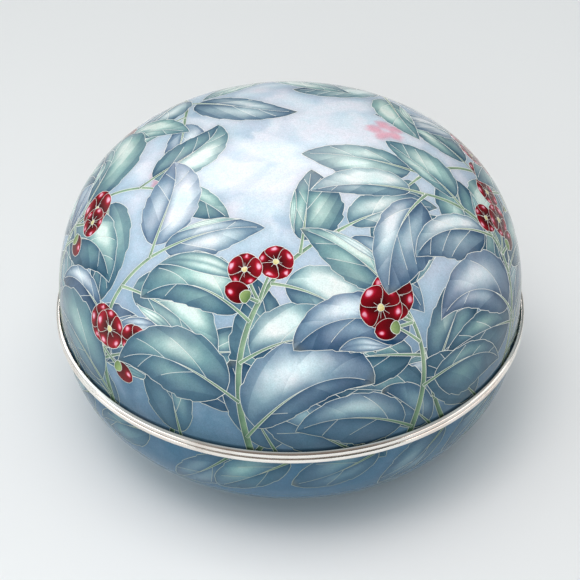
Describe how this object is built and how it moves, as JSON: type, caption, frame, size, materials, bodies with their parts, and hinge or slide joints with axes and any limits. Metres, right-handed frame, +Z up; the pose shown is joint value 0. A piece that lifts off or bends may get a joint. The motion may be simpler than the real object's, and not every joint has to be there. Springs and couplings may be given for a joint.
{
  "type": "cloisonne enamel box",
  "caption": "Round bun-shaped box of cloisonne enamel with a domed lift-off lid, silver rims and a low silver foot.",
  "frame": {"origin": "centre of the foot's underside, on the surface that the box stands on", "axes": "+Z up along the axis of the box; the side seen in the picture faces -Y"},
  "size_m": [0.18, 0.18, 0.1233],
  "materials": {
    "enamel": "polished vitreous enamel in blue-grey, with leaves and blossoms outlined in fine silver wire",
    "silver": "bright turned silver, softly polished"
  },
  "bodies": {
    "root": {"lid_shell": "enamel", "lid_ring": "silver", "bowl_shell": "enamel", "bowl_ring": "silver", "foot_ring": "silver"}
  },
  "joints": []
}
